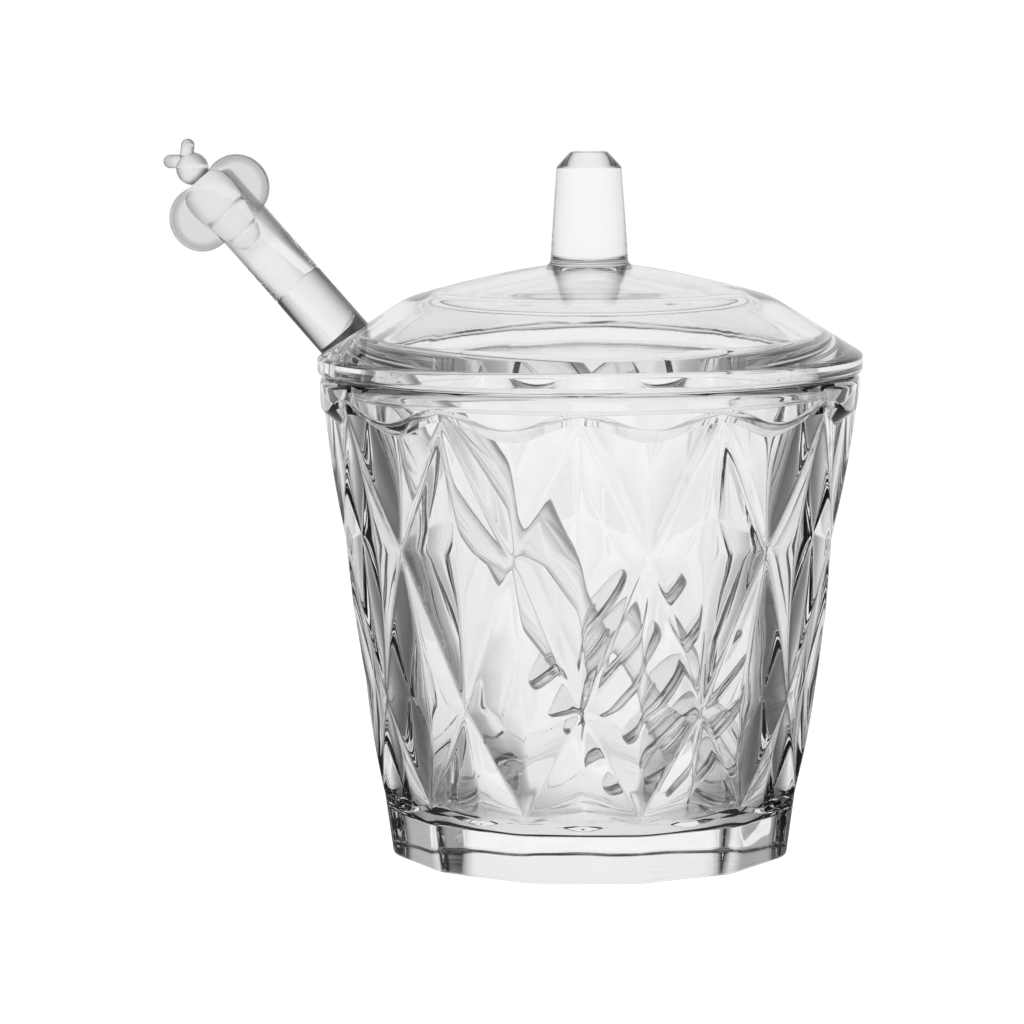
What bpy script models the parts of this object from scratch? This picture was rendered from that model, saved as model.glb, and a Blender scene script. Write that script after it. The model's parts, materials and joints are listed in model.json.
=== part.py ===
"""Glass honey pot: a pressed jar, a domed lid with a notch, and a dipper with a bee on its top end.

Units are metres and +Z is up. The origin is the centre of the jar's underside, the pot's front
faces -Y, and the dipper leans out over the rim towards -X.
"""

import math

import bmesh
import bpy
from mathutils import Matrix, Vector

# Gap between pieces that rest on each other
SEAT_GAP = 0.0003

# Jar
JAR_HEIGHT = 0.0880
RIM_RADIUS = 0.04945
FOOT_RADIUS = 0.0373
RIM_WALL = 0.0034
CAVITY_FLOOR_RADIUS = 0.0338
FLOOR_THICKNESS = 0.0080
FLOOR_FILLET = 0.0060
RIM_ROUND = 0.0013
FOOT_ROUND = 0.0008

# Pressed diamonds: the levels of their corners run from the base flats up to the rim band
COLUMNS = 12
LEVEL_SHARES = (0.131, 0.353, 0.670, 0.969)
DIAMOND_DEPTH = 0.0021
SCALLOP_DIP = 0.0032
SCALLOP_SHOULDER = 0.0012
FLAT_EDGE_DIP = 0.0017
FLAT_SHOULDER = 0.0009
HALF_COLUMN_STEPS = 4
LEVEL_STEPS = 4

# Lid, with heights above its seat on the rim
LID_OVERHANG = 0.00055
LID_EDGE_HEIGHT = 0.0034
LID_EDGE_ROUND = 0.0010
SHOULDER_RADIUS = 0.0335
SHOULDER_HEIGHT = 0.0137
SHOULDER_ROUND = 0.0150
DOME_HEIGHT = 0.0203
DOME_POWER = 1.5
LID_WALL = 0.0040
UNDERSIDE_ROUND = 0.0020
SKIRT_DEPTH = 0.0040
SKIRT_WALL = 0.0028
SKIRT_CLEARANCE = 0.0006
SKIRT_ROUND = 0.0006
LID_TURN_STEPS = 48
DOME_STEPS = 6

# How far inside the shoulder's outer corner its underside ends, as a share of its width
UNDERSIDE_SHARE = 3 / 11

# Knob, pressed in one with the lid
KNOB_LENGTH = 0.0200
KNOB_BASE_RADIUS = 0.0072
KNOB_TOP_RADIUS = 0.0059
KNOB_CROWN_HEIGHT = 0.0028
KNOB_FLAT_RADIUS = 0.0033
KNOB_ROUND = 0.0008
KNOB_FILLET = 0.0014

# Dipper stick and head, with lengths along the stick from the end of the head
ROD_RADIUS = 0.0051
ROD_TOP_RADIUS = 0.0050
ROD_LENGTH = 0.1434
ROD_ROUND = 0.0015
TAPER_START = 0.0900
HEAD_LENGTH = 0.0400
HEAD_RADIUS = 0.0150
HEAD_CORE_RADIUS = 0.0042
HEAD_REACH = 0.0242
DISC_THICKNESS = 0.0022
DISC_ROUND = 0.0008
ROD_TURN_STEPS = 24
NOTCH_CLEARANCE = 0.0010

# The head's discs, from its end up: their radii as shares of the widest
DISC_SHARES = (0.70, 0.90, 1, 1, 0.90)

# Bee on the stick's top end, turned a little about the stick
BEE_TURN = math.radians(-9)
BEE_HEAD_RADIUS = 0.0030
BEE_HEAD_PAST_ROD = 0.0037
BEE_BODY_LENGTH = 0.0169
BEE_BODY_PAST_ROD = 0.0012
BEE_BODY_RADIUS = 0.0049
BEE_BODY_FLATNESS = 0.72
BEE_BODY_FORWARD = 0.0032
STRIPE_DEPTH = 0.0003
STRIPE_WIDTH = 0.0008
ANTENNA_RADIUS = 0.00125
ANTENNA_LENGTH = 0.0042
ANTENNA_RISE = 0.0018
ANTENNA_ANGLE = math.radians(50)
WING_RADIUS = 0.0060
WING_THICKNESS = 0.0016
WING_ROUND = 0.0004
WING_OFFSET = 0.0045
WING_BELOW_ROD_TOP = 0.0043
BEE_STEPS = 20
ANTENNA_TIP_STEPS = 4
WING_STEPS = 32

# The bee's body, from its front face to its tail: how far along, and how wide, as shares
BODY_SHARES = (
    (0, 0.58),
    (0.05, 0.80),
    (0.11, 0.94),
    (0.22, 1),
    (0.34, 0.97),
    (0.45, 0.90),
    (0.58, 0.80),
    (0.73, 0.69),
    (0.82, 0.57),
    (0.90, 0.43),
    (0.96, 0.25),
)
STRIPE_SHARES = (0.45, 0.73, 0.90)

# Looks
GLASS_COLOR = (0.93, 0.95, 0.95)
GLASS_ROUGHNESS = 0.02
GLASS_TRANSMISSION = 1
PLASTIC_COLOR = (0.85, 0.85, 0.85)
PLASTIC_ROUGHNESS = 0.35
PLASTIC_TRANSMISSION = 0.5

# Fineness of the mesh
CORNER_STEPS = 2
NOTCH_STEPS = 12
MERGE_DISTANCE = 0.00001
SHARP_ANGLE = math.radians(12)

# The most of a side that the fillet at one of its ends may take up
FILLET_SHARE = 0.45

# Rounds of a calculation that settles on its answer
SETTLE_ROUNDS = 30

# How far a cutter runs past what it cuts
OVERRUN = 0.0100

SEAT_HEIGHT = JAR_HEIGHT + SEAT_GAP
CAVITY_RIM_RADIUS = RIM_RADIUS - RIM_WALL
LID_RADIUS = RIM_RADIUS + LID_OVERHANG
HALF_COLUMN = math.pi / COLUMNS


def new_collection(name, shown):
    """A collection of the scene, kept out of the render if it only holds helpers."""
    collection = bpy.data.collections.new(name)
    collection.hide_render = not shown
    bpy.context.scene.collection.children.link(collection)
    return collection


def make_material(name, color, roughness, transmission):
    """A see-through Principled material."""
    material = bpy.data.materials.new(name)
    material.use_nodes = True
    shader = material.node_tree.nodes["Principled BSDF"]
    shader.inputs["Base Color"].default_value = (*color, 1)
    shader.inputs["Roughness"].default_value = roughness
    shader.inputs["Metallic"].default_value = 0
    shader.inputs["Transmission Weight"].default_value = transmission
    return material


def add_object(name, build, collection, material=None):
    """An object of the shapes that build adds to an empty bmesh, in this collection."""
    shape = bmesh.new()
    build(shape)
    mesh = bpy.data.meshes.new(name)
    shape.to_mesh(mesh)
    shape.free()
    if material:
        mesh.materials.append(material)
    item = bpy.data.objects.new(name, mesh)
    collection.objects.link(item)
    return item


def as_helper(item):
    item.hide_render = True
    item.display_type = "WIRE"
    return item


def boolean(item, other, operation):
    modifier = item.modifiers.new(f"{operation.lower()}_{other.name}", "BOOLEAN")
    modifier.operation = operation
    modifier.object = other
    modifier.solver = "EXACT"


def blend(start, end, share):
    return start + (end - start) * share


def rounded(corners):
    """An outline of points (x, z) from corners (x, z, radius), with each radius as an arc.

    A fillet is limited to less than half of the shorter side beside its corner.
    """
    points = []
    last = len(corners) - 1
    for place, (x, z, radius) in enumerate(corners):
        corner = Vector((x, z))
        if radius == 0 or place in (0, last):
            points.append((x, z))
            continue
        before = Vector(corners[place - 1][:2]) - corner
        after = Vector(corners[place + 1][:2]) - corner
        half_angle = before.angle(after) / 2
        shorter_side = min(before.length, after.length)
        reach = min(radius / math.tan(half_angle), FILLET_SHARE * shorter_side)
        toward_center = (before.normalized() + after.normalized()).normalized()
        center = corner + toward_center * reach / math.cos(half_angle)
        start = corner + before.normalized() * reach - center
        end = corner + after.normalized() * reach - center
        turn = start.angle_signed(end)
        for step in range(CORNER_STEPS + 1):
            point = center + Matrix.Rotation(-turn * step / CORNER_STEPS, 2) @ start
            points.append((point.x, point.y))
    return points


def turned(name, profile, steps, collection, material=None):
    """A solid turned about Z from a profile that runs down its outer side, from axis to axis."""

    def build(shape):
        points = [shape.verts.new((x, 0, z)) for x, z in profile]
        for first, second in zip(points, points[1:]):
            shape.edges.new((first, second))

    item = add_object(name, build, collection, material)
    screw = item.modifiers.new("turn", "SCREW")
    screw.steps = steps
    screw.render_steps = steps
    screw.use_merge_vertices = True
    screw.merge_threshold = MERGE_DISTANCE
    screw.use_smooth_shade = True
    return item


# Jar


def level_height(level):
    return JAR_HEIGHT * LEVEL_SHARES[level]


def wave(across):
    """A smooth wave round the jar: 0 on a column of diamonds and 1 halfway to the next."""
    return (1 - math.cos(math.pi * across)) / 2


def flat_edge(across):
    """The height of the top edge of the base flats, which rises to their corners."""
    return level_height(0) - FLAT_EDGE_DIP * (1 - wave(across))


def band_edge(across):
    """The height of the scalloped lower edge of the rim band."""
    return level_height(3) - SCALLOP_DIP * wave(across)


def ridge_radius(height):
    """The radius of the cone that the ridges and the corners of the base lie on."""
    return blend(FOOT_RADIUS, RIM_RADIUS, min(height / level_height(3), 1))


def flat_radius(across, height):
    """The radius of the base, a polygon whose corners lie halfway between the columns."""
    return ridge_radius(height) * math.cos(HALF_COLUMN) / math.cos(across * HALF_COLUMN)


def pressed_radius(across, level, height):
    """The outer radius among the diamonds, whose ridges cross at each whole level.

    Between a ridge and the valley down a diamond's middle the surface is straight, and the
    valley's depth follows an arc from one tip of the diamond to the other.
    """
    ridge = abs(level % 2 - 1)
    valley = 0 if across < ridge else 1
    half_width = abs(valley - ridge)
    high = ridge_radius(height)
    low = high - DIAMOND_DEPTH * half_width * (2 - half_width)
    if math.isclose(across, ridge):
        return high
    span = (valley - ridge) * HALF_COLUMN
    turn = (across - ridge) * HALF_COLUMN
    return high * low * math.sin(span) / (high * math.sin(turn) + low * math.sin(span - turn))


def lattice_points(across):
    """Points (radius, height) up the diamonds at one angle."""
    lowest = flat_edge(across) + FLAT_SHOULDER
    highest = band_edge(across) - SCALLOP_SHOULDER
    heights = (lowest, level_height(1), level_height(2), highest)
    points = []
    for step in range(LEVEL_STEPS * (len(heights) - 1) + 1):
        level = step / LEVEL_STEPS
        below = min(int(level), len(heights) - 2)
        height = blend(heights[below], heights[below + 1], level - below)
        points.append((pressed_radius(across, level, height), height))
    return points


def jar_outline(across):
    """Points (radius, height) at one angle: under the foot, up the outside and down the cavity."""
    corners = [(0, 0, 0), (flat_radius(across, 0), 0, FOOT_ROUND)]
    corners.append((flat_radius(across, flat_edge(across)), flat_edge(across), 0))
    corners += [(radius, height, 0) for radius, height in lattice_points(across)]
    corners.append((RIM_RADIUS, band_edge(across), 0))
    corners.append((RIM_RADIUS, JAR_HEIGHT, RIM_ROUND))
    corners.append((CAVITY_RIM_RADIUS, JAR_HEIGHT, RIM_ROUND))
    corners.append((CAVITY_FLOOR_RADIUS, FLOOR_THICKNESS, FLOOR_FILLET))
    corners.append((0, FLOOR_THICKNESS, 0))
    return rounded(corners)


def skin(shape, columns):
    """Closes columns of points, each from one tip on the axis to the other, into one surface.

    Each cell is split along the diagonal that stands further out, so a ridge stays an edge.
    """
    first_tip = shape.verts.new(columns[0][0])
    last_tip = shape.verts.new(columns[0][-1])
    made = [[shape.verts.new(point) for point in column[1:-1]] for column in columns]
    for left, right in zip(made, made[1:] + made[:1]):
        shape.faces.new((first_tip, right[0], left[0]))
        for low_left, low_right, high_left, high_right in zip(left, right, left[1:], right[1:]):
            rising = (low_left.co + high_right.co).xy.length
            falling = (low_right.co + high_left.co).xy.length
            if rising > falling:
                shape.faces.new((low_left, low_right, high_right))
                shape.faces.new((low_left, high_right, high_left))
            else:
                shape.faces.new((low_left, low_right, high_left))
                shape.faces.new((low_right, high_right, high_left))
        shape.faces.new((last_tip, left[-1], right[-1]))


def make_jar(collection, material):
    """The jar, pressed in one: twelve columns of diamonds between base flats and a plain band."""
    count = 2 * COLUMNS * HALF_COLUMN_STEPS

    def build(shape):
        columns = []
        for step in range(count):
            phase = step / HALF_COLUMN_STEPS
            across = abs((phase + 1) % 2 - 1)
            turn = phase * HALF_COLUMN
            column = []
            for radius, height in jar_outline(across):
                column.append((radius * math.sin(turn), -radius * math.cos(turn), height))
            columns.append(column)
        skin(shape, columns)

    jar = add_object("jar", build, collection, material)
    jar.data.shade_smooth()
    jar.data.set_sharp_from_angle(angle=SHARP_ANGLE)
    return jar


# Dipper's place


def rim_center():
    """The center, as radius and height, of the arc that rounds the rim's inner edge."""
    wall_height = JAR_HEIGHT - FLOOR_THICKNESS
    wall_lean = math.atan((CAVITY_RIM_RADIUS - CAVITY_FLOOR_RADIUS) / wall_height)
    inset = RIM_ROUND * math.tan((math.pi / 2 - wall_lean) / 2)
    return Vector((CAVITY_RIM_RADIUS + inset, JAR_HEIGHT - RIM_ROUND))


def lean_of_dipper():
    """The dipper's tilt from upright and the height of its end, at rest on floor and rim."""
    rim = rim_center()
    reach = ROD_RADIUS + RIM_ROUND + SEAT_GAP
    flat = HEAD_RADIUS * DISC_SHARES[0] - DISC_ROUND
    tilt = math.atan(rim.x / rim.y)
    for _ in range(SETTLE_ROUNDS):
        below_end = flat * math.sin(tilt) + DISC_ROUND * (1 - math.cos(tilt))
        height = FLOOR_THICKNESS + SEAT_GAP + below_end
        away = Vector((rim.x + HEAD_REACH, rim.y - height))
        tilt = math.atan2(away.x, away.y) - math.asin(reach / away.length)
    return tilt, height


# Lid


def dome_height(radius):
    """The height of the dome's outer face above the lid's seat."""
    drop = (DOME_HEIGHT - SHOULDER_HEIGHT) * (radius / SHOULDER_RADIUS) ** DOME_POWER
    return DOME_HEIGHT - drop


def slope_height(radius):
    """The height of the shoulder's outer face above the lid's seat."""
    share = (radius - SHOULDER_RADIUS) / (LID_RADIUS - SHOULDER_RADIUS)
    return blend(SHOULDER_HEIGHT, LID_EDGE_HEIGHT, share)


def underside_radius():
    """The radius of the corner where the undersides of shoulder and dome meet."""
    return SHOULDER_RADIUS - UNDERSIDE_SHARE * (LID_RADIUS - SHOULDER_RADIUS)


def dome_wall():
    """The dome's thickness, which lets its underside meet the shoulder's in one corner."""
    return dome_height(underside_radius()) - slope_height(underside_radius()) + LID_WALL


def skirt_radius():
    """The skirt's outer radius, clear of the cavity where the skirt reaches deepest."""
    wall_height = JAR_HEIGHT - FLOOR_THICKNESS
    taper = (CAVITY_RIM_RADIUS - CAVITY_FLOOR_RADIUS) / wall_height
    return CAVITY_RIM_RADIUS - taper * SKIRT_DEPTH - SKIRT_CLEARANCE


def lid_outline():
    """The lid's section, from the knob's top down the outside and back along the underside."""
    skirt = skirt_radius()
    inner = skirt - SKIRT_WALL
    underside = underside_radius()
    knob_foot = dome_height(KNOB_BASE_RADIUS)
    top = DOME_HEIGHT + KNOB_LENGTH
    corners = [(0, top, 0), (KNOB_FLAT_RADIUS, top, KNOB_ROUND)]
    corners.append((KNOB_TOP_RADIUS, top - KNOB_CROWN_HEIGHT, KNOB_ROUND))
    corners.append((KNOB_BASE_RADIUS, knob_foot, KNOB_FILLET))
    for step in range(1, DOME_STEPS):
        radius = blend(KNOB_BASE_RADIUS, SHOULDER_RADIUS, step / DOME_STEPS)
        corners.append((radius, dome_height(radius), 0))
    corners.append((SHOULDER_RADIUS, SHOULDER_HEIGHT, SHOULDER_ROUND))
    corners.append((LID_RADIUS, LID_EDGE_HEIGHT, LID_EDGE_ROUND))
    corners.append((LID_RADIUS, 0, LID_EDGE_ROUND))
    corners.append((skirt, 0, 0))
    corners.append((skirt, -SKIRT_DEPTH, SKIRT_ROUND))
    corners.append((inner, -SKIRT_DEPTH, SKIRT_ROUND))
    corners.append((inner, slope_height(inner) - LID_WALL, UNDERSIDE_ROUND))
    corners.append((underside, slope_height(underside) - LID_WALL, SHOULDER_ROUND))
    for step in range(1, DOME_STEPS):
        radius = blend(underside, 0, step / DOME_STEPS)
        corners.append((radius, dome_height(radius) - dome_wall(), 0))
    corners.append((0, DOME_HEIGHT - dome_wall(), 0))
    return [(x, SEAT_HEIGHT + z) for x, z in rounded(corners)]


def notch_end(tilt, lowest):
    """How far from the axis the notch stops, so that the stick clears the lid's underside.

    lowest is the height of the dipper's end, where its axis is HEAD_REACH past the pot's.
    """
    radius = LID_RADIUS
    for _ in range(SETTLE_ROUNDS):
        face = slope_height if radius > SHOULDER_RADIUS else dome_height
        height = SEAT_HEIGHT + max(face(radius) - LID_WALL, 0)
        axis = (height - lowest) * math.tan(tilt) - HEAD_REACH
        radius = axis - ROD_RADIUS / math.cos(tilt) - NOTCH_CLEARANCE
    return radius


def make_lid(collection, cutters, material, tilt, lowest):
    """The lid, turned with its knob and skirt, and the notch cut for the dipper's stick."""
    lid = turned("lid", lid_outline(), LID_TURN_STEPS, collection, material)
    half_width = ROD_RADIUS / math.cos(tilt) + NOTCH_CLEARANCE
    center = -(notch_end(tilt, lowest) + half_width)

    def build(shape):
        outline = [(-LID_RADIUS - OVERRUN, -half_width)]
        for step in range(NOTCH_STEPS + 1):
            turn = math.pi * (step / NOTCH_STEPS - 1 / 2)
            outline.append((center + half_width * math.cos(turn), half_width * math.sin(turn)))
        outline.append((-LID_RADIUS - OVERRUN, half_width))
        low = SEAT_HEIGHT - SKIRT_DEPTH - OVERRUN
        high = SEAT_HEIGHT + DOME_HEIGHT + OVERRUN
        face = shape.faces.new([shape.verts.new((x, y, low)) for x, y in outline])
        grown = bmesh.ops.extrude_face_region(shape, geom=[face])["geom"]
        risen = [item for item in grown if isinstance(item, bmesh.types.BMVert)]
        bmesh.ops.translate(shape, vec=(0, 0, high - low), verts=risen)
        bmesh.ops.recalc_face_normals(shape, faces=shape.faces)

    notch = as_helper(add_object("notch_cutter", build, cutters))
    boolean(lid, notch, "DIFFERENCE")
    return lid


# Dipper


def stick_outline():
    """The stick's section, from its top end down the outside to the end of the head."""
    pitch = HEAD_LENGTH / len(DISC_SHARES)
    corners = [(0, ROD_LENGTH, 0), (ROD_TOP_RADIUS, ROD_LENGTH, ROD_ROUND), (ROD_RADIUS, TAPER_START, 0)]
    corners.append((ROD_RADIUS, HEAD_LENGTH + pitch / 2, 0))
    for disc, share in reversed(list(enumerate(DISC_SHARES))):
        radius = HEAD_RADIUS * share
        low = disc * pitch
        high = low + DISC_THICKNESS
        corners.append((HEAD_CORE_RADIUS, high, 0))
        corners.append((radius, high, DISC_ROUND))
        corners.append((radius, low, DISC_ROUND))
        corners.append((HEAD_CORE_RADIUS if disc else 0, low, 0))
    return rounded(corners)


def body_outline():
    """The bee's body from its front face to its tail, with a groove at each stripe."""
    stripes = []
    for share in STRIPE_SHARES:
        for side, depth in ((-1, 0), (0, STRIPE_DEPTH), (1, 0)):
            along = share + side * STRIPE_WIDTH / 2 / BEE_BODY_LENGTH
            stripes.append((along, body_width(along) * BEE_BODY_RADIUS - depth))
    clear_of_stripe = STRIPE_WIDTH / BEE_BODY_LENGTH
    smooth = []
    for along, width in BODY_SHARES:
        if min(abs(along - share) for share in STRIPE_SHARES) > clear_of_stripe:
            smooth.append((along, width * BEE_BODY_RADIUS))
    points = sorted(stripes + smooth)
    top = ROD_LENGTH + BEE_BODY_PAST_ROD
    outline = [(0, top)] + [(radius, top - along * BEE_BODY_LENGTH) for along, radius in points]
    return outline + [(0, top - BEE_BODY_LENGTH)]


def body_width(along):
    """The bee's width at a share of its length, as a share of its widest."""
    ends = BODY_SHARES + ((1, 0),)
    for (start, first), (end, second) in zip(ends, ends[1:]):
        if start <= along <= end:
            return blend(first, second, (along - start) / (end - start))
    return 0


def make_body(cutters):
    """The bee's body, turned, flattened from front to back and set forward of the stick."""
    body = turned("bee_body", body_outline(), BEE_STEPS, cutters)
    body.scale = (1, BEE_BODY_FLATNESS, 1)
    body.location = (0, -BEE_BODY_FORWARD, 0)
    return body


def make_bee_head(cutters):
    place = Matrix.Translation((0, -BEE_BODY_FORWARD / 2, ROD_LENGTH + BEE_HEAD_PAST_ROD))

    def build(shape):
        bmesh.ops.create_uvsphere(
            shape, u_segments=BEE_STEPS, v_segments=BEE_STEPS // 2, radius=BEE_HEAD_RADIUS, matrix=place
        )

    return add_object("bee_head", build, cutters)


def make_antenna(side, cutters):
    """One stubby antenna with a round tip, rooted in the head; side is 1 or -1."""
    outline = []
    for step in range(ANTENNA_TIP_STEPS + 1):
        turn = math.pi / 2 * step / ANTENNA_TIP_STEPS
        height = ANTENNA_LENGTH - ANTENNA_RADIUS * (1 - math.cos(turn))
        outline.append((ANTENNA_RADIUS * math.sin(turn), height))
    outline += [(ANTENNA_RADIUS, 0), (0, 0)]
    name = "antenna_left" if side < 0 else "antenna_right"
    antenna = turned(name, outline, BEE_STEPS // 2, cutters)
    rise = ROD_LENGTH + BEE_HEAD_PAST_ROD + ANTENNA_RISE
    antenna.location = (0, -BEE_BODY_FORWARD / 2, rise)
    antenna.rotation_euler = (0, side * ANTENNA_ANGLE, 0)
    return antenna


def make_wing(side, cutters):
    """One flat round wing; side is 1 or -1."""
    place = Matrix.Translation((side * WING_OFFSET, -BEE_BODY_FORWARD, ROD_LENGTH - WING_BELOW_ROD_TOP))
    upright = Matrix.Rotation(math.pi / 2, 4, "X")

    def build(shape):
        bmesh.ops.create_cone(
            shape,
            cap_ends=True,
            segments=WING_STEPS,
            radius1=WING_RADIUS,
            radius2=WING_RADIUS,
            depth=WING_THICKNESS,
            matrix=place @ upright,
        )

    wing = add_object("wing_left" if side < 0 else "wing_right", build, cutters)
    bevel = wing.modifiers.new("round", "BEVEL")
    bevel.width = WING_ROUND
    bevel.segments = 1
    return wing


def make_dipper(collection, cutters, material, tilt, height):
    """The dipper, one moulding: its parts are joined into one solid and hang on one empty."""
    pivot = bpy.data.objects.new("dipper_axis", None)
    collection.objects.link(pivot)
    pivot.location = (HEAD_REACH, 0, height)
    pivot.rotation_euler = (0, -tilt, 0)
    dipper = turned("dipper", stick_outline(), ROD_TURN_STEPS, collection, material)
    dipper.parent = pivot
    bee = bpy.data.objects.new("bee_axis", None)
    collection.objects.link(bee)
    bee.parent = pivot
    bee.rotation_euler = (0, 0, BEE_TURN)
    helpers = [make_body(cutters), make_bee_head(cutters)]
    for side in (-1, 1):
        helpers.append(make_antenna(side, cutters))
        helpers.append(make_wing(side, cutters))
    for helper in helpers:
        as_helper(helper).parent = bee
        boolean(dipper, helper, "UNION")
    return dipper


def main():
    for item in list(bpy.data.objects):
        bpy.data.objects.remove(item)
    pot = new_collection("honey_pot", True)
    cutters = new_collection("cutters", False)
    tilt, height = lean_of_dipper()
    glass = (GLASS_COLOR, GLASS_ROUGHNESS, GLASS_TRANSMISSION)
    plastic = (PLASTIC_COLOR, PLASTIC_ROUGHNESS, PLASTIC_TRANSMISSION)
    make_jar(pot, make_material("jar_glass", *glass))
    make_lid(pot, cutters, make_material("lid_glass", *glass), tilt, height)
    make_dipper(pot, cutters, make_material("dipper_plastic", *plastic), tilt, height)
    bpy.context.view_layer.update()
    print(f"Dipper leans {math.degrees(tilt):.2f} degrees, its end {height:.5f} m up")


main()
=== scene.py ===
"""The looks of a glass honey pot: a pressed jar, a domed lid with a notch, and a dipper with a bee.

Units are metres and +Z is up. The pot's front faces -Y, and the dipper leans out towards -X.
"""

import json
import math

import bmesh
import bpy
from mathutils import Matrix, Vector


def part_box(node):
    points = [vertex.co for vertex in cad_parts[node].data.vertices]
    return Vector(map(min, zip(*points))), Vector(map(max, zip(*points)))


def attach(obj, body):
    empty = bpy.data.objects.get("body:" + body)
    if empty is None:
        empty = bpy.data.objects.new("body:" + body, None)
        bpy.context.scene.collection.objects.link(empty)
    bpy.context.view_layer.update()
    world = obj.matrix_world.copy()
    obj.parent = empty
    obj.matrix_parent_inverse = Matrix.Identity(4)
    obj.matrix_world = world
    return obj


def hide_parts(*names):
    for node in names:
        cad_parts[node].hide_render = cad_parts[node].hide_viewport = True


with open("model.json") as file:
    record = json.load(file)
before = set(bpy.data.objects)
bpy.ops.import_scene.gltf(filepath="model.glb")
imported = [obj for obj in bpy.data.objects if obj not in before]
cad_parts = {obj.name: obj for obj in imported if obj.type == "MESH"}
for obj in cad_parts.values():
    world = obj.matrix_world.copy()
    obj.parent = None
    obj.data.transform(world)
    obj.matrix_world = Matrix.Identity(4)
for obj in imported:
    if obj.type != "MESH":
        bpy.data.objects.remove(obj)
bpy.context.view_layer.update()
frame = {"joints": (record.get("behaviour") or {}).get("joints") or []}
JAR_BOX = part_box("jar")
LID_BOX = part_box("lid")
DIPPER_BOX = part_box("dipper")

# Jar
JAR_HEIGHT = JAR_BOX[1].z
RIM_RADIUS = JAR_BOX[1].x
FOOT_RADIUS = 0.0373
RIM_WALL = 0.0034
CAVITY_FLOOR_RADIUS = 0.0338
FLOOR_THICKNESS = 0.0080
FLOOR_FILLET = 0.0060
RIM_ROUND = 0.0013
FOOT_ROUND = 0.0008

# Pressed diamonds: the levels of their corners run from the base flats up to the rim band
COLUMNS = 12
LEVEL_SHARES = (0.131, 0.353, 0.670, 0.969)
DIAMOND_DEPTH = 0.0021
SCALLOP_DIP = 0.0032
SCALLOP_SHOULDER = 0.0024
FLAT_EDGE_DIP = 0.0017
FLAT_SHOULDER = 0.0009
EDGE_ROUND = 0.0005
RIDGE_SPREAD = 0.0007
FLAT_SPREAD = 0.0028
HALF_COLUMN_STEPS = 24
LEVEL_STEPS = 24

# How much each neighbour counts when a ridge or a base corner is rounded: its place, and its weight
SPREAD_SHARES = ((-1, 0.14), (-0.5, 0.22), (0, 0.28), (0.5, 0.22), (1, 0.14))

# Lid, with heights above its seat on the rim
LID_RADIUS = LID_BOX[1].x
LID_EDGE_HEIGHT = 0.0034
LID_EDGE_ROUND = 0.0010
SHOULDER_RADIUS = 0.0335
SHOULDER_HEIGHT = 0.0137
SHOULDER_ROUND = 0.0150
SHOULDER_SPAN = 0.0052
DOME_HEIGHT = 0.0203
DOME_POWER = 1.5
LID_WALL = 0.0040
UNDERSIDE_ROUND = 0.0020
SKIRT_DEPTH = 0.0040
SKIRT_WALL = 0.0028
SKIRT_CLEARANCE = 0.0006
SKIRT_ROUND = 0.0006
LID_TURN_STEPS = 192
DOME_STEPS = 24
NOTCH_CLEARANCE = 0.0010
NOTCH_ROUND = 0.0004
NOTCH_ROUND_STEPS = 3
NOTCH_STEPS = 32

# How far inside the shoulder's outer corner its underside ends, as a share of its width
UNDERSIDE_SHARE = 3 / 11

# Knob, pressed in one with the lid
KNOB_BASE_RADIUS = 0.0072
KNOB_TOP_RADIUS = 0.0059
KNOB_CROWN_HEIGHT = 0.0028
KNOB_FLAT_RADIUS = 0.0033
KNOB_ROUND = 0.0008
KNOB_FILLET = 0.0014

# Dipper stick and head, with lengths along the stick from the end of the head
ROD_RADIUS = 0.0051
ROD_TOP_RADIUS = 0.0050
ROD_LENGTH = 0.1434
ROD_ROUND = 0.0015
TAPER_START = 0.0900
HEAD_LENGTH = 0.0400
HEAD_RADIUS = 0.0150
HEAD_CORE_RADIUS = 0.0042
DISC_THICKNESS = 0.0022
DISC_ROUND = 0.0008
DISC_FILLET = 0.0005
MOULD_LINE_BELOW_TAIL = 0.0090
MOULD_LINE_DEPTH = 0.0002
MOULD_LINE_WIDTH = 0.0007
ROD_TURN_STEPS = 96

# How far from the pot's axis the stick's axis ends in the head
HEAD_REACH = 0.0242

# The head's discs, from its end up: their radii as shares of the widest
DISC_SHARES = (0.70, 0.90, 1, 1, 0.90)

# Bee on the stick's top end, turned a little about the stick
BEE_TURN = math.radians(-9)
BEE_HEAD_RADIUS = 0.0030
BEE_HEAD_PAST_ROD = 0.0037
BEE_BODY_LENGTH = 0.0169
BEE_BODY_PAST_ROD = 0.0012
BEE_BODY_RADIUS = 0.0049
BEE_BODY_FLATNESS = 0.72
BEE_FORWARD = 0.0032
STRIPE_DEPTH = 0.0005
STRIPE_WIDTH = 0.0010
ANTENNA_RADIUS = 0.00125
ANTENNA_LENGTH = 0.0042
ANTENNA_RISE = 0.0018
ANTENNA_ANGLE = math.radians(50)
WING_RADIUS = 0.0060
WING_THICKNESS = 0.0016
WING_ROUND = 0.0004
WING_OFFSET = 0.0045
WING_BELOW_ROD_TOP = 0.0043
BEE_STEPS = 48

# How much further forward the body stands than the wings, so that it shows on the stick
BEE_BODY_RELIEF = 0.0010

# The bee's body, from its front face to its tail: how far along, and how wide, as shares
BODY_SHARES = (
    (0, 0.58),
    (0.05, 0.80),
    (0.11, 0.94),
    (0.22, 1),
    (0.34, 0.97),
    (0.45, 0.90),
    (0.58, 0.80),
    (0.73, 0.69),
    (0.82, 0.57),
    (0.90, 0.43),
    (0.96, 0.25),
)

# The stripes: how far along the bee's body, as shares of its length
STRIPE_SHARES = (0.45, 0.73, 0.90)

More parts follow.
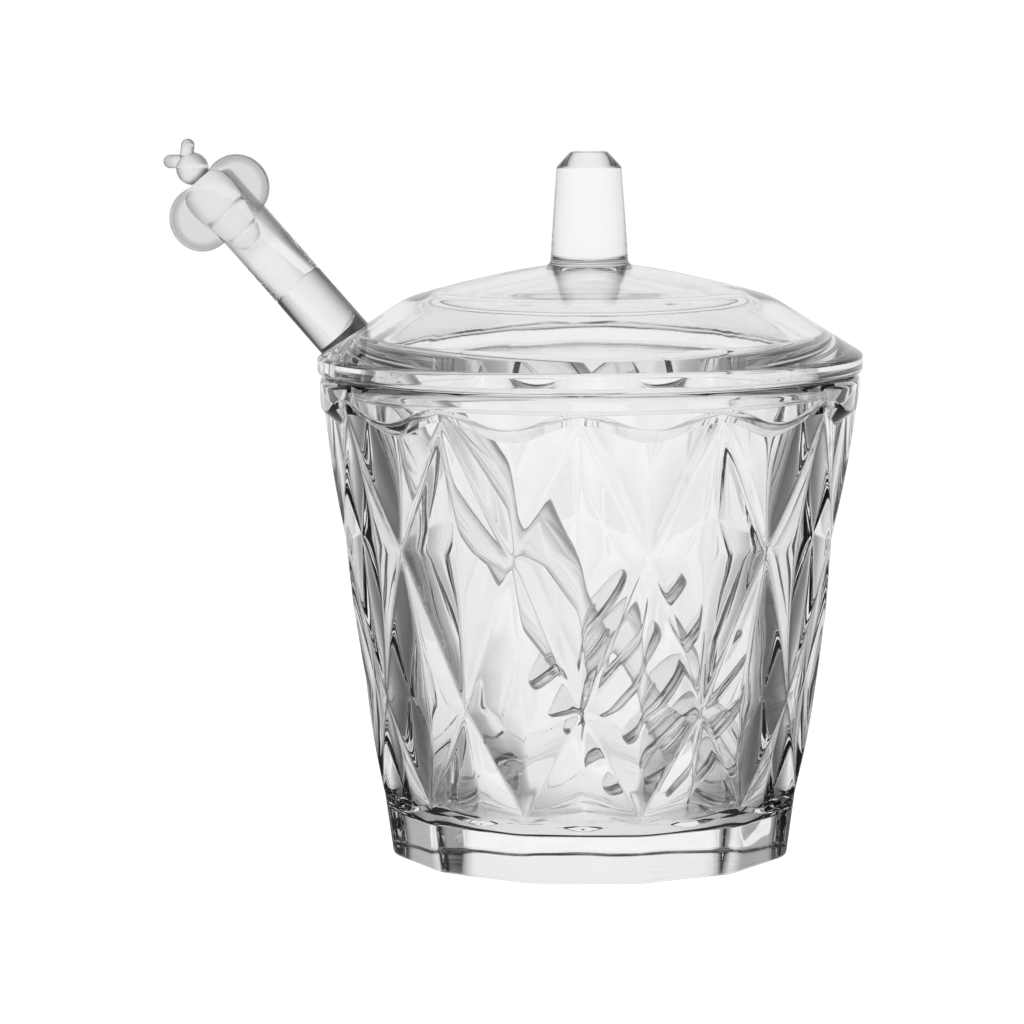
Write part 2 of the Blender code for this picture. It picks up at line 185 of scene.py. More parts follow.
# Rounded corners: the most that an arc takes of its shorter side, and the gap to its supports
CORNER_STEPS = 6
FILLET_SHARE = 0.4
SUPPORT_SHARE = 0.2

# An edge between faces that turn by more than this stays sharp
SHARP_ANGLE = math.radians(35)

# The notch: how often its end is worked out anew, and how far its cutter runs past the lid
SETTLE_ROUNDS = 30
OVERRUN = 0.0100

# Glass, with each grain as a noise's scale and detail
GLASS_GRAY = 0.985
GLASS_IOR = 1.52
GLASS_ROUGHNESS = (0, 0.03)
SMEAR_GRAIN = (90, 3)
WAVE_GRAIN = (70, 1)
JAR_WAVE_DEPTH = 0.0002
LID_WAVE_DEPTH = 0.00005

# Plastic, clear in the stick and frosted in the bee
PLASTIC_IOR = 1.49
STICK_TRANSMISSION = 0.96
STICK_ROUGHNESS = (0.04, 0.09)
STICK_GRAIN = (400, 4)
BEE_TRANSMISSION = 0.86
BEE_ROUGHNESS = (0.13, 0.17)
BEE_GRAIN = (200, 2)
FROST_SPAN = 0.0010
# Painted shade: the plastic's colour darkens in the creases where its forms meet, down to the first
# gray within this reach, and stays at the second gray in the open
PAINTED_SHADE_REACH = 0.0020
PAINTED_SHADE_SAMPLES = 8
PAINTED_SHADE_GRAY = 0.15
UNSHADED_GRAY = 0.98

# The middle of a factor's range, which is spread over the values wanted
MIDDLE_LOW = 0.3
MIDDLE_HIGH = 0.7

# Camera: it stands at the photograph's angle, with a long lens
CAMERA_DISTANCE = 0.7787
CAMERA_HEIGHT = 0.1526
CAMERA_AZIMUTH = math.radians(2.08)
CAMERA_YAW = math.radians(1.057)
CAMERA_PITCH = math.radians(6.606)
CAMERA_ROLL = math.radians(-0.290)
SENSOR_WIDTH = 36
LENS = 149.66

# How often light may turn at a surface
LIGHT_BOUNCES = 24

# Table: the dimmer light at its sides ends between two distances from the pot
TABLE_GAP = 0.0004
TABLE_SIZE = 4
TABLE_GRAY = 0.1
TABLE_ROUGHNESS = 0.6
CARD_NEAR = 0.45
CARD_FAR = 0.70
FAR_TABLE_LIGHT = 0.82

# The table's light in the glass: how far round from straight behind the pot, and how bright
CARD_SHARES = (
    (0, 0.80),
    (0.10, 0.76),
    (0.16, 0.60),
    (0.22, 0.38),
    (0.30, 0.16),
    (0.40, 0.05),
    (0.50, 0.03),
    (0.62, 0.30),
    (0.80, 0.70),
    (1, 0.76),
)

# Background: the screens end between two heights, as shares of straight up
SCREEN_LOW_SHARE = 0.45
SCREEN_HIGH_SHARE = 0.8
OVERHEAD_LIGHT = 0.5

# The background's light in the glass: how far round from straight behind the pot, and how bright
SCREEN_SHARES = (
    (0, 0.90),
    (0.10, 0.88),
    (0.16, 0.70),
    (0.22, 0.45),
    (0.30, 0.06),
    (0.42, 0.04),
    (0.52, 0.40),
    (1, 0.90),
)

# Worked out from the sizes above
SEAT_HEIGHT = LID_BOX[0].z + SKIRT_DEPTH
CAVITY_RIM_RADIUS = RIM_RADIUS - RIM_WALL
HALF_COLUMN = math.pi / COLUMNS
BEE_BODY_TOP = ROD_LENGTH + BEE_BODY_PAST_ROD
BEE_TAIL = BEE_BODY_TOP - BEE_BODY_LENGTH

# The dipper's lean, and the height where its axis ends, so that the head just reaches down to its box
DRAW_AXIS = next(joint["axis"] for joint in frame["joints"] if joint["name"] == "dipper_draw")
LEAN = math.atan2(-DRAW_AXIS[0], DRAW_AXIS[2])
END_RADIUS = HEAD_RADIUS * DISC_SHARES[0] - DISC_ROUND
END_HEIGHT = DIPPER_BOX[0].z + END_RADIUS * math.sin(LEAN) + DISC_ROUND * (1 - math.cos(LEAN))


def blend(start, end, share):
    return start + (end - start) * share


def new_object(name, data):
    item = bpy.data.objects.new(name, data)
    bpy.context.scene.collection.objects.link(item)
    return item


def rounded(corners):
    """An outline of points (x, z) from corners (x, z, radius), with each radius as an arc.

    A point close beside each end of an arc keeps the shading of the straight sides true.
    """
    points = []
    last = len(corners) - 1
    for place, (x, z, radius) in enumerate(corners):
        corner = Vector((x, z))
        if radius == 0 or place in (0, last):
            points.append((x, z))
            continue
        before = Vector(corners[place - 1][:2]) - corner
        after = Vector(corners[place + 1][:2]) - corner
        half_angle = before.angle(after) / 2
        shorter_side = min(before.length, after.length)
        reach = min(radius / math.tan(half_angle), FILLET_SHARE * shorter_side)
        toward_center = (before.normalized() + after.normalized()).normalized()
        center = corner + toward_center * reach / math.cos(half_angle)
        start = corner + before.normalized() * reach - center
        end = corner + after.normalized() * reach - center
        turn = start.angle_signed(end)
        support = (1 + SUPPORT_SHARE) * reach
        points.append(tuple(corner + before.normalized() * support))
        for step in range(CORNER_STEPS + 1):
            point = center + Matrix.Rotation(-turn * step / CORNER_STEPS, 2) @ start
            points.append((point.x, point.y))
        points.append(tuple(corner + after.normalized() * support))
    return points


def skin(name, columns):
    """A smooth closed mesh over columns of points, each from one tip on the axis to the other.

    Each cell is split along the diagonal that stands further out, so a ridge stays an edge.
    """
    rows = len(columns[0]) - 2
    points = [columns[0][0], columns[0][-1]]
    for column in columns:
        points += column[1:-1]
    faces = []
    for place in range(len(columns)):
        left = 2 + place * rows
        right = 2 + (place + 1) % len(columns) * rows
        faces.append((0, right, left))
        for row in range(rows - 1):
            low_left = left + row
            low_right = right + row
            high_left = low_left + 1
            high_right = low_right + 1
            rising = (Vector(points[low_left]) + Vector(points[high_right])).xy.length
            falling = (Vector(points[low_right]) + Vector(points[high_left])).xy.length
            if rising > falling:
                faces.append((low_left, low_right, high_right))
                faces.append((low_left, high_right, high_left))
            else:
                faces.append((low_left, low_right, high_left))
                faces.append((low_right, high_right, high_left))
        faces.append((1, left + rows - 1, right + rows - 1))
    mesh = bpy.data.meshes.new(name)
    mesh.from_pydata(points, [], faces)
    mesh.shade_smooth()
    return mesh


def turned(name, outline, steps, place=Matrix.Identity(4)):
    """A solid turned about Z from an outline that runs up its outer side, moved to its place."""
    columns = []
    for step in range(steps):
        turn = math.tau * step / steps
        columns.append([(x * math.cos(turn), x * math.sin(turn), z) for x, z in outline])
    mesh = skin(name, columns)
    mesh.transform(place)
    return new_object(name, mesh)


def bake(item):
    """Turns an object's modifiers into its mesh."""
    graph = bpy.context.evaluated_depsgraph_get()
    mesh = bpy.data.meshes.new_from_object(item.evaluated_get(graph))
    item.modifiers.clear()
    item.data = mesh


def combine(item, others, operation):
    """Joins the others to an object, or cuts them out of it, for good."""
    for other in others:
        modifier = item.modifiers.new(other.name, "BOOLEAN")
        modifier.operation = operation
        modifier.object = other
        modifier.solver = "EXACT"
    bake(item)
    for other in others:
        bpy.data.objects.remove(other)


def dress(item, material):
    """Gives a cut or joined mesh its one material, and smooth shading that stops at sharp edges."""
    item.data.shade_smooth()
    item.data.set_sharp_from_angle(angle=SHARP_ANGLE)
    item.data.materials.clear()
    item.data.materials.append(material)


# Jar


def fold(across):
    """Brings a place anywhere round the jar back to the half column from 0 to 1."""
    return abs((across + 1) % 2 - 1)


def level_height(level):
    return JAR_HEIGHT * LEVEL_SHARES[level]


def wave(across):
    """A smooth wave round the jar: 0 on a column of diamonds and 1 halfway to the next."""
    return (1 - math.cos(math.pi * across)) / 2


def flat_edge(across):
    """The height of the top edge of the base flats, which rises to their corners."""
    return level_height(0) - FLAT_EDGE_DIP * (1 - wave(across))


def band_edge(across):
    """The height of the scalloped lower edge of the rim band."""
    return level_height(3) - SCALLOP_DIP * wave(across)


def ridge_radius(height):
    """The radius of the cone that the ridges and the corners of the base lie on."""
    return blend(FOOT_RADIUS, RIM_RADIUS, min(height / level_height(3), 1))


def flat_radius(across, height):
    """The radius of the base, a polygon whose corners lie halfway between the columns."""
    return ridge_radius(height) * math.cos(HALF_COLUMN) / math.cos(across * HALF_COLUMN)


def pressed_radius(across, level, height):
    """The outer radius among the diamonds, whose ridges cross at each whole level.

    Between a ridge and the valley down a diamond's middle the surface is straight, and the
    valley's depth follows an arc from one tip of the diamond to the other.
    """
    ridge = abs(level % 2 - 1)
    valley = 0 if across < ridge else 1
    half_width = abs(valley - ridge)
    high = ridge_radius(height)
    low = high - DIAMOND_DEPTH * half_width * (2 - half_width)
    if math.isclose(across, ridge):
        return high
    span = (valley - ridge) * HALF_COLUMN
    turn = (across - ridge) * HALF_COLUMN
    return high * low * math.sin(span) / (high * math.sin(turn) + low * math.sin(span - turn))


def lattice_points(across):
    """Points (radius, height) up the diamonds at one angle."""
    lowest = flat_edge(across) + FLAT_SHOULDER
    highest = band_edge(across) - SCALLOP_SHOULDER
    heights = (lowest, level_height(1), level_height(2), highest)
    points = []
    for step in range(LEVEL_STEPS * (len(heights) - 1) + 1):
        level = step / LEVEL_STEPS
        below = min(int(level), len(heights) - 2)
        height = blend(heights[below], heights[below + 1], level - below)
        points.append((pressed_radius(across, level, height), height))
    return points


def jar_outline(across):
    """Points (radius, height) at one angle: under the foot, up the outside and down the cavity."""
    corners = [(0, 0, 0), (flat_radius(across, 0), 0, FOOT_ROUND)]
    corners.append((flat_radius(across, flat_edge(across)), flat_edge(across), EDGE_ROUND))
    lattice = lattice_points(across)
    corners.append((*lattice[0], EDGE_ROUND))
    corners += [(radius, height, 0) for radius, height in lattice[1:-1]]
    corners.append((*lattice[-1], EDGE_ROUND))
    corners.append((RIM_RADIUS, band_edge(across), EDGE_ROUND))
    corners.append((RIM_RADIUS, JAR_HEIGHT, RIM_ROUND))
    corners.append((CAVITY_RIM_RADIUS, JAR_HEIGHT, RIM_ROUND))
    corners.append((CAVITY_FLOOR_RADIUS, FLOOR_THICKNESS, FLOOR_FILLET))
    corners.append((0, FLOOR_THICKNESS, 0))
    return rounded(corners)


def averaged_outline(across, width):
    """The outline at one angle, averaged with its neighbours up to this width away."""
    spread_width = width / (RIM_RADIUS * HALF_COLUMN)
    total = None
    for side, weight in SPREAD_SHARES:
        outline = jar_outline(fold(across + side * spread_width))
        weighted = [weight * Vector(point) for point in outline]
        total = weighted if total is None else [a + b for a, b in zip(total, weighted)]
    return total


def softened_outline(across):
    """The outline at one angle with rounded ridges, and more softly rounded corners on the base."""
    flats = averaged_outline(across, FLAT_SPREAD)
    ridges = averaged_outline(across, RIDGE_SPREAD)
    top = flat_edge(across)
    return [low if low.y <= top else high for low, high in zip(flats, ridges)]


def make_jar(material):
    """The jar, pressed in one: twelve columns of diamonds between base flats and a plain band."""
    half = [softened_outline(step / HALF_COLUMN_STEPS) for step in range(HALF_COLUMN_STEPS + 1)]
    columns = []
    for step in range(2 * COLUMNS * HALF_COLUMN_STEPS):
        phase = step / HALF_COLUMN_STEPS
        outline = half[round(fold(phase) * HALF_COLUMN_STEPS)]
        turn = phase * HALF_COLUMN
        columns.append([(r * math.sin(turn), -r * math.cos(turn), z) for r, z in outline])
    jar = new_object("pressed_jar", skin("pressed_jar", columns))
    jar.data.materials.append(material)
    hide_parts("jar")
    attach(jar, "jar")


# Lid


def dome_height(radius):
    """The height of the dome's outer face above the lid's seat."""
    drop = (DOME_HEIGHT - SHOULDER_HEIGHT) * (radius / SHOULDER_RADIUS) ** DOME_POWER
    return DOME_HEIGHT - drop


def slope_height(radius):
    """The height of the shoulder's outer face above the lid's seat."""
    share = (radius - SHOULDER_RADIUS) / (LID_RADIUS - SHOULDER_RADIUS)
    return blend(SHOULDER_HEIGHT, LID_EDGE_HEIGHT, share)


def underside_radius():
    """The radius of the corner where the undersides of shoulder and dome meet."""
    return SHOULDER_RADIUS - UNDERSIDE_SHARE * (LID_RADIUS - SHOULDER_RADIUS)


def dome_wall():
    """The dome's thickness, which lets its underside meet the shoulder's in one corner."""
    return dome_height(underside_radius()) - slope_height(underside_radius()) + LID_WALL


def skirt_radius():
    """The skirt's outer radius, clear of the cavity where the skirt reaches deepest."""
    wall_height = JAR_HEIGHT - FLOOR_THICKNESS
    taper = (CAVITY_RIM_RADIUS - CAVITY_FLOOR_RADIUS) / wall_height
    return CAVITY_RIM_RADIUS - taper * SKIRT_DEPTH - SKIRT_CLEARANCE


def lid_outline():
    """The lid's section, along the underside from the axis and back over the outside."""
    skirt = skirt_radius()
    inner = skirt - SKIRT_WALL
    underside = underside_radius()
    knob_foot = dome_height(KNOB_BASE_RADIUS)
    top = LID_BOX[1].z - SEAT_HEIGHT
    corners = [(0, top, 0), (KNOB_FLAT_RADIUS, top, KNOB_ROUND)]
    corners.append((KNOB_TOP_RADIUS, top - KNOB_CROWN_HEIGHT, KNOB_ROUND))
    corners.append((KNOB_BASE_RADIUS, knob_foot, KNOB_FILLET))
    dome_start = KNOB_BASE_RADIUS + KNOB_FILLET
    dome_end = SHOULDER_RADIUS - SHOULDER_SPAN
    for step in range(1, DOME_STEPS):
        radius = blend(dome_start, dome_end, step / (DOME_STEPS - 1))
        corners.append((radius, dome_height(radius), 0))
    corners.append((SHOULDER_RADIUS, SHOULDER_HEIGHT, SHOULDER_ROUND))
    corners.append((LID_RADIUS, LID_EDGE_HEIGHT, LID_EDGE_ROUND))
    corners.append((LID_RADIUS, 0, LID_EDGE_ROUND))
    corners.append((skirt, 0, 0))
    corners.append((skirt, -SKIRT_DEPTH, SKIRT_ROUND))
    corners.append((inner, -SKIRT_DEPTH, SKIRT_ROUND))
    corners.append((inner, slope_height(inner) - LID_WALL, UNDERSIDE_ROUND))
    corners.append((underside, slope_height(underside) - LID_WALL, SHOULDER_ROUND))
    for step in range(DOME_STEPS):
        radius = blend(underside - SHOULDER_SPAN, 0, step / DOME_STEPS)
        corners.append((radius, dome_height(radius) - dome_wall(), 0))
    corners.append((0, DOME_HEIGHT - dome_wall(), 0))
    return [(x, SEAT_HEIGHT + z) for x, z in reversed(rounded(corners))]


def notch_end():
    """How far from the axis the notch stops, so that the stick clears the lid's underside."""
    radius = LID_RADIUS
    for _ in range(SETTLE_ROUNDS):
        face = slope_height if radius > SHOULDER_RADIUS else dome_height
        height = SEAT_HEIGHT + max(face(radius) - LID_WALL, 0)
        axis = (height - END_HEIGHT) * math.tan(LEAN) - HEAD_REACH
        radius = axis - ROD_RADIUS / math.cos(LEAN) - NOTCH_CLEARANCE
    return radius


def notch_cutter():
    """A tall block with one round side, which cuts the notch from the lid's edge inwards."""
    half_width = ROD_RADIUS / math.cos(LEAN) + NOTCH_CLEARANCE
    center = -(notch_end() + half_width)
    outline = [(-LID_RADIUS - OVERRUN, -half_width)]
    for step in range(NOTCH_STEPS + 1):
        turn = math.pi * (step / NOTCH_STEPS - 1 / 2)
        outline.append((center + half_width * math.cos(turn), half_width * math.sin(turn)))
    outline.append((-LID_RADIUS - OVERRUN, half_width))
    low = SEAT_HEIGHT - SKIRT_DEPTH - OVERRUN
    high = SEAT_HEIGHT + DOME_HEIGHT + OVERRUN
    shape = bmesh.new()
    face = shape.faces.new([shape.verts.new((x, y, low)) for x, y in outline])
    grown = bmesh.ops.extrude_face_region(shape, geom=[face])["geom"]
    risen = [item for item in grown if isinstance(item, bmesh.types.BMVert)]
    bmesh.ops.translate(shape, vec=(0, 0, high - low), verts=risen)
    bmesh.ops.recalc_face_normals(shape, faces=shape.faces)
    mesh = bpy.data.meshes.new("notch_cutter")
    shape.to_mesh(mesh)
    shape.free()
    return new_object("notch_cutter", mesh)


def make_lid(material):
    """The lid with its knob, turned in one, and the notch cut and its edges rounded."""
    lid = turned("domed_lid", lid_outline(), LID_TURN_STEPS)
    combine(lid, [notch_cutter()], "DIFFERENCE")
    edge = lid.modifiers.new("round", "BEVEL")
    edge.width = NOTCH_ROUND
    edge.segments = NOTCH_ROUND_STEPS
    edge.limit_method = "ANGLE"
    edge.angle_limit = SHARP_ANGLE
    edge.use_clamp_overlap = False
    bake(lid)
    dress(lid, material)
    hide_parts("lid")
    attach(lid, "lid")


# Dipper


def mould_line():
    """The corners of the fine groove round the stick below the bee, from its top edge down."""
    middle = BEE_TAIL - MOULD_LINE_BELOW_TAIL
    share = (middle - TAPER_START) / (ROD_LENGTH - TAPER_START)
    radius = blend(ROD_RADIUS, ROD_TOP_RADIUS, share)
    half = MOULD_LINE_WIDTH / 2
    groove = (radius - MOULD_LINE_DEPTH, middle, 0)
    return [(radius, middle + half, 0), groove, (radius, middle - half, 0)]


def stick_outline():
    """The stick's section, from the end of the head up to its top end."""
    pitch = HEAD_LENGTH / len(DISC_SHARES)
    corners = [(0, ROD_LENGTH, 0), (ROD_TOP_RADIUS, ROD_LENGTH, ROD_ROUND)]
    corners += mould_line()
    corners.append((ROD_RADIUS, TAPER_START, 0))
    corners.append((ROD_RADIUS, HEAD_LENGTH + pitch / 2, 0))
    for disc, share in reversed(list(enumerate(DISC_SHARES))):
        radius = HEAD_RADIUS * share
        low = disc * pitch
        high = low + DISC_THICKNESS
        corners.append((HEAD_CORE_RADIUS, high, DISC_FILLET))
        corners.append((radius, high, DISC_ROUND))
        corners.append((radius, low, DISC_ROUND))
        corners.append((HEAD_CORE_RADIUS if disc else 0, low, DISC_FILLET if disc else 0))
    return list(reversed(rounded(corners)))


def body_width(along):
    """The bee's width at a share of its length, as a share of its widest."""
    ends = BODY_SHARES + ((1, 0),)
    for (start, first), (end, second) in zip(ends, ends[1:]):
        if start <= along <= end:
            return blend(first, second, (along - start) / (end - start))
    return 0


def body_outline():
    """The bee's body from its tail to its front face, with a groove at each stripe."""
    stripes = []
    for share in STRIPE_SHARES:
        for side, depth in ((-1, 0), (0, STRIPE_DEPTH), (1, 0)):
            along = share + side * STRIPE_WIDTH / 2 / BEE_BODY_LENGTH
            stripes.append((along, body_width(along) * BEE_BODY_RADIUS - depth))
    clear_of_stripe = STRIPE_WIDTH / BEE_BODY_LENGTH
    smooth = []
    for along, width in BODY_SHARES:
        if min(abs(along - share) for share in STRIPE_SHARES) > clear_of_stripe:
            smooth.append((along, width * BEE_BODY_RADIUS))
    outline = [(0, BEE_BODY_TOP)]
    for along, radius in sorted(stripes + smooth):
        outline.append((radius, BEE_BODY_TOP - along * BEE_BODY_LENGTH))
    outline.append((0, BEE_TAIL))
    return list(reversed(outline))


def ball_outline(radius, stretch=0):
    """Half a circle of points (x, z) up a ball, whose upper half is raised by the stretch."""
    steps = BEE_STEPS // 2
    points = [(0, -radius)]
    for step in range(1, steps):
        turn = math.pi * (step / steps - 1 / 2)
        raised = stretch if turn >= 0 else 0
        points.append((radius * math.cos(turn), radius * math.sin(turn) + raised))
    return points + [(0, radius + stretch)]


def make_bee():
    """The bee's pieces, along the stick's own axis."""
    forward = BEE_FORWARD + BEE_BODY_RELIEF
    flat = Matrix.Translation((0, -forward, 0)) @ Matrix.Diagonal((1, BEE_BODY_FLATNESS, 1, 1))
    pieces = [turned("bee_body", body_outline(), BEE_STEPS, flat)]
    head_height = ROD_LENGTH + BEE_HEAD_PAST_ROD
    head = Matrix.Translation((0, -BEE_FORWARD / 2, head_height))
    pieces.append(turned("bee_head", ball_outline(BEE_HEAD_RADIUS), BEE_STEPS, head))
    root = Matrix.Translation((0, -BEE_FORWARD / 2, head_height + ANTENNA_RISE))
    stalk = ball_outline(ANTENNA_RADIUS, ANTENNA_LENGTH - ANTENNA_RADIUS)
    upright = Matrix.Rotation(math.pi / 2, 4, "X")
    half = WING_THICKNESS / 2
    rim = [(WING_RADIUS, -half, WING_ROUND), (WING_RADIUS, half, WING_ROUND)]
    wing = rounded([(0, -half, 0), *rim, (0, half, 0)])
    wing_height = ROD_LENGTH - WING_BELOW_ROD_TOP
    for side, word in ((-1, "left"), (1, "right")):
        lean = Matrix.Rotation(side * ANTENNA_ANGLE, 4, "Y")
        pieces.append(turned(f"antenna_{word}", stalk, BEE_STEPS, root @ lean))
        spot = Matrix.Translation((side * WING_OFFSET, -BEE_FORWARD, wing_height))
        pieces.append(turned(f"wing_{word}", wing, BEE_STEPS, spot @ upright))
    for piece in pieces:
        piece.data.transform(Matrix.Rotation(BEE_TURN, 4, "Z"))
    return pieces


def make_dipper(material):
    """The dipper, moulded in one: head, stick and bee."""
    dipper = turned("honey_dipper", stick_outline(), ROD_TURN_STEPS)
    combine(dipper, make_bee(), "UNION")
    foot = Matrix.Translation((HEAD_REACH, 0, END_HEIGHT))
    dipper.data.transform(foot @ Matrix.Rotation(-LEAN, 4, "Y"))
    dress(dipper, material)
    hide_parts("dipper")
    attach(dipper, "dipper")


# Materials


def new_material(name):
    """A node material, its nodes and links, and its Principled shader."""
    material = bpy.data.materials.new(name)
    material.use_nodes = True
    tree = material.node_tree
    return material, tree.nodes, tree.links, tree.nodes["Principled BSDF"]


def gray(level):
    """An even gray, as a color."""
    return (level, level, level, 1)


def noise(nodes, links, scale, detail):
    """A noise texture over the piece's own coordinates, with its features 1 / scale apart."""
    place = nodes.new("ShaderNodeTexCoord")
    texture = nodes.new("ShaderNodeTexNoise")
    texture.inputs["Scale"].default_value = scale
    texture.inputs["Detail"].default_value = detail
    links.new(place.outputs["Object"], texture.inputs["Vector"])
    return texture.outputs["Fac"]


def spread(nodes, links, factor, low, high):
    """Maps the middle of a factor's range, where most of a noise lies, to values from low to high."""
    ranged = nodes.new("ShaderNodeMapRange")
    ranged.inputs["From Min"].default_value = MIDDLE_LOW
    ranged.inputs["From Max"].default_value = MIDDLE_HIGH
    ranged.inputs["To Min"].default_value = low
    ranged.inputs["To Max"].default_value = high
    links.new(factor, ranged.inputs["Value"])
    return ranged.outputs["Result"]


def smooth_step(nodes, links, value, low, high):
    """Rises smoothly from 0 at the low value to 1 at the high one."""
    rise = nodes.new("ShaderNodeMapRange")
    rise.interpolation_type = "SMOOTHSTEP"
    rise.inputs["From Min"].default_value = low
    rise.inputs["From Max"].default_value = high
    links.new(value, rise.inputs["Value"])
    return rise.outputs["Result"]


def shared(nodes, links, factor, low, high):
    """A number that runs from the low one where the factor is 0 to the high one where it is 1."""
    mix = nodes.new("ShaderNodeMix")
    links.new(factor, mix.inputs["Factor"])
    for socket, number in ((mix.inputs["A"], low), (mix.inputs["B"], high)):
        if isinstance(number, bpy.types.NodeSocket):
            links.new(number, socket)
        else:
            socket.default_value = number
    return mix.outputs["Result"]


def bump(nodes, links, shader, factor, depth):
    """Raises the surface by up to this depth where the factor is 1."""
    bumped = nodes.new("ShaderNodeBump")
    bumped.inputs["Strength"].default_value = 1
    bumped.inputs["Distance"].default_value = depth
    links.new(factor, bumped.inputs["Height"])
    links.new(bumped.outputs["Normal"], shader.inputs["Normal"])


def glass_material(name, wave_depth):
    """Clear pressed glass: slightly wavy, with faintly uneven gloss."""
    material, nodes, links, shader = new_material(name)
    shader.inputs["Base Color"].default_value = gray(GLASS_GRAY)
    shader.inputs["Transmission Weight"].default_value = 1
    shader.inputs["IOR"].default_value = GLASS_IOR
    smear = spread(nodes, links, noise(nodes, links, *SMEAR_GRAIN), *GLASS_ROUGHNESS)
    links.new(smear, shader.inputs["Roughness"])
    bump(nodes, links, shader, noise(nodes, links, *WAVE_GRAIN), wave_depth)
    return material


def plastic_material():
    """Moulded plastic: the stick is clear and the bee frosted, with painted shade that dims its
    colour where its forms meet.
    """
    material, nodes, links, shader = new_material("dipper_plastic")
    shader.inputs["IOR"].default_value = PLASTIC_IOR
    axis = Vector((-math.sin(LEAN), 0, math.cos(LEAN)))
    along = nodes.new("ShaderNodeVectorMath")
    along.operation = "DOT_PRODUCT"
    along.inputs[1].default_value = axis
    links.new(nodes.new("ShaderNodeTexCoord").outputs["Object"], along.inputs[0])
    tail = BEE_TAIL + axis.dot(Vector((HEAD_REACH, 0, END_HEIGHT)))
    bee = smooth_step(nodes, links, along.outputs["Value"], tail - FROST_SPAN, tail + FROST_SPAN)
    # Painted shade: ambient occlusion darkens the base colour in the creases between stick, bee and
    # wings
    crease_shade = nodes.new("ShaderNodeAmbientOcclusion")
    crease_shade.inputs["Distance"].default_value = PAINTED_SHADE_REACH
    crease_shade.samples = PAINTED_SHADE_SAMPLES
    painted_shade = spread(nodes, links, crease_shade.outputs["AO"], PAINTED_SHADE_GRAY, UNSHADED_GRAY)
    links.new(painted_shade, shader.inputs["Base Color"])
    transmission = shared(nodes, links, bee, STICK_TRANSMISSION, BEE_TRANSMISSION)
    links.new(transmission, shader.inputs["Transmission Weight"])
    clear = spread(nodes, links, noise(nodes, links, *STICK_GRAIN), *STICK_ROUGHNESS)
    frosted = spread(nodes, links, noise(nodes, links, *BEE_GRAIN), *BEE_ROUGHNESS)
    links.new(shared(nodes, links, bee, clear, frosted), shader.inputs["Roughness"])
    return material


# Studio


def side_share(nodes, links, place):
    """How far round from straight behind the pot a place lies, to either side, and its height.

    The first is a share of half a turn: 0 is straight behind the pot and 1 straight before it.
    """
    split = nodes.new("ShaderNodeSeparateXYZ")
    links.new(place, split.inputs["Vector"])
    turn = nodes.new("ShaderNodeMath")
    turn.operation = "ARCTAN2"
    links.new(split.outputs["X"], turn.inputs[0])
    links.new(split.outputs["Y"], turn.inputs[1])
    size = nodes.new("ShaderNodeMath")
    size.operation = "ABSOLUTE"
    links.new(turn.outputs["Value"], size.inputs[0])
    share = nodes.new("ShaderNodeMath")
    share.operation = "DIVIDE"
    share.inputs[1].default_value = math.pi
    links.new(size.outputs["Value"], share.inputs[0])
    return share.outputs["Value"], split.outputs["Z"]


def grays(nodes, links, factor, shares):
    """A ramp of grays over the factor."""
    around = nodes.new("ShaderNodeValToRGB")
    ramp = around.color_ramp
    for stop, (position, level) in zip(ramp.elements, (shares[0], shares[-1])):
        stop.position = position
        stop.color = gray(level)
    for position, level in shares[1:-1]:
        stop = ramp.elements.new(position)
        stop.color = gray(level)
    links.new(factor, around.inputs["Fac"])
    return around.outputs["Color"]


def mixed(nodes, links, factor, color, level):
    """The color where the factor is 0, and a gray of this level where it is 1."""
    mix = nodes.new("ShaderNodeMix")
    mix.data_type = "RGBA"
    mix.inputs["B"].default_value = gray(level)
    links.new(factor, mix.inputs["Factor"])
    links.new(color, mix.inputs["A"])
    return mix.outputs["Result"]


def table_material():
    """A white table top. In the glass it is dimmer at the sides, as with dark cards laid there."""
    material, nodes, links, shader = new_material("white_table")
    shader.inputs["Base Color"].default_value = gray(TABLE_GRAY)
    shader.inputs["Roughness"].default_value = TABLE_ROUGHNESS
    shader.inputs["Emission Strength"].default_value = 1
    place = nodes.new("ShaderNodeTexCoord").outputs["Object"]
    around, _ = side_share(nodes, links, place)
    cards = grays(nodes, links, around, CARD_SHARES)
    distance = nodes.new("ShaderNodeVectorMath")
    distance.operation = "LENGTH"
    links.new(place, distance.inputs[0])
    past = smooth_step(nodes, links, distance.outputs["Value"], CARD_NEAR, CARD_FAR)
    bent = mixed(nodes, links, past, cards, FAR_TABLE_LIGHT)
    seen = nodes.new("ShaderNodeLightPath").outputs["Is Camera Ray"]
    links.new(mixed(nodes, links, seen, bent, 1), shader.inputs["Emission Color"])
    return material


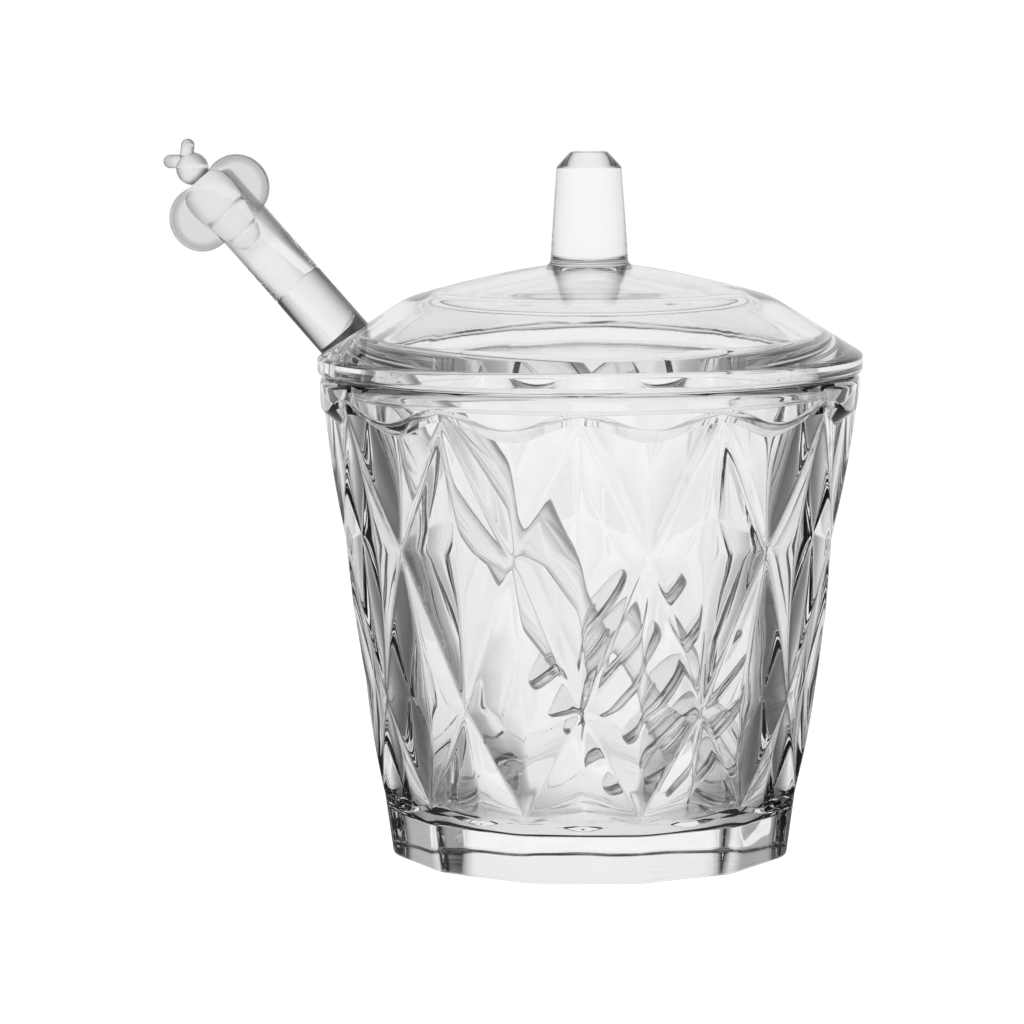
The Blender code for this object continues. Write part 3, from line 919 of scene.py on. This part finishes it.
def make_world():
    """A background that is white to the camera. The glass shows a dark screen at each side."""
    world = bpy.data.worlds.new("studio")
    bpy.context.scene.world = world
    world.use_nodes = True
    nodes = world.node_tree.nodes
    links = world.node_tree.links
    place = nodes.new("ShaderNodeTexCoord").outputs["Generated"]
    around, height = side_share(nodes, links, place)
    screens = grays(nodes, links, around, SCREEN_SHARES)
    lifted = smooth_step(nodes, links, height, SCREEN_LOW_SHARE, SCREEN_HIGH_SHARE)
    bent = mixed(nodes, links, lifted, screens, OVERHEAD_LIGHT)
    seen = nodes.new("ShaderNodeLightPath").outputs["Is Camera Ray"]
    links.new(mixed(nodes, links, seen, bent, 1), nodes["Background"].inputs["Color"])


def make_table():
    """The table top, a flat floor for the pot just below it."""
    shape = bmesh.new()
    bmesh.ops.create_grid(shape, x_segments=1, y_segments=1, size=TABLE_SIZE / 2)
    mesh = bpy.data.meshes.new("table_top")
    shape.to_mesh(mesh)
    shape.free()
    mesh.materials.append(table_material())
    floor = new_object("table_top", mesh)
    floor.location.z = -TABLE_GAP


def make_camera():
    data = bpy.data.cameras.new("camera")
    data.sensor_width = SENSOR_WIDTH
    data.lens = LENS
    camera = new_object("camera", data)
    heading = CAMERA_AZIMUTH + CAMERA_YAW
    place = Vector((math.sin(CAMERA_AZIMUTH), -math.cos(CAMERA_AZIMUTH), 0)) * CAMERA_DISTANCE
    place.z = CAMERA_HEIGHT
    look = Matrix.Rotation(heading, 4, "Z") @ Matrix.Rotation(math.pi / 2 - CAMERA_PITCH, 4, "X")
    camera.matrix_world = Matrix.Translation(place) @ look @ Matrix.Rotation(CAMERA_ROLL, 4, "Z")
    bpy.context.scene.camera = camera


def main():
    make_camera()
    make_jar(glass_material("jar_glass", JAR_WAVE_DEPTH))
    make_lid(glass_material("lid_glass", LID_WAVE_DEPTH))
    make_dipper(plastic_material())
    make_table()
    make_world()
    scene = bpy.context.scene
    scene.view_settings.view_transform = "Standard"
    scene.cycles.max_bounces = LIGHT_BOUNCES
    scene.cycles.transmission_bounces = LIGHT_BOUNCES
    scene.cycles.use_denoising = True
    bpy.context.view_layer.update()


main()
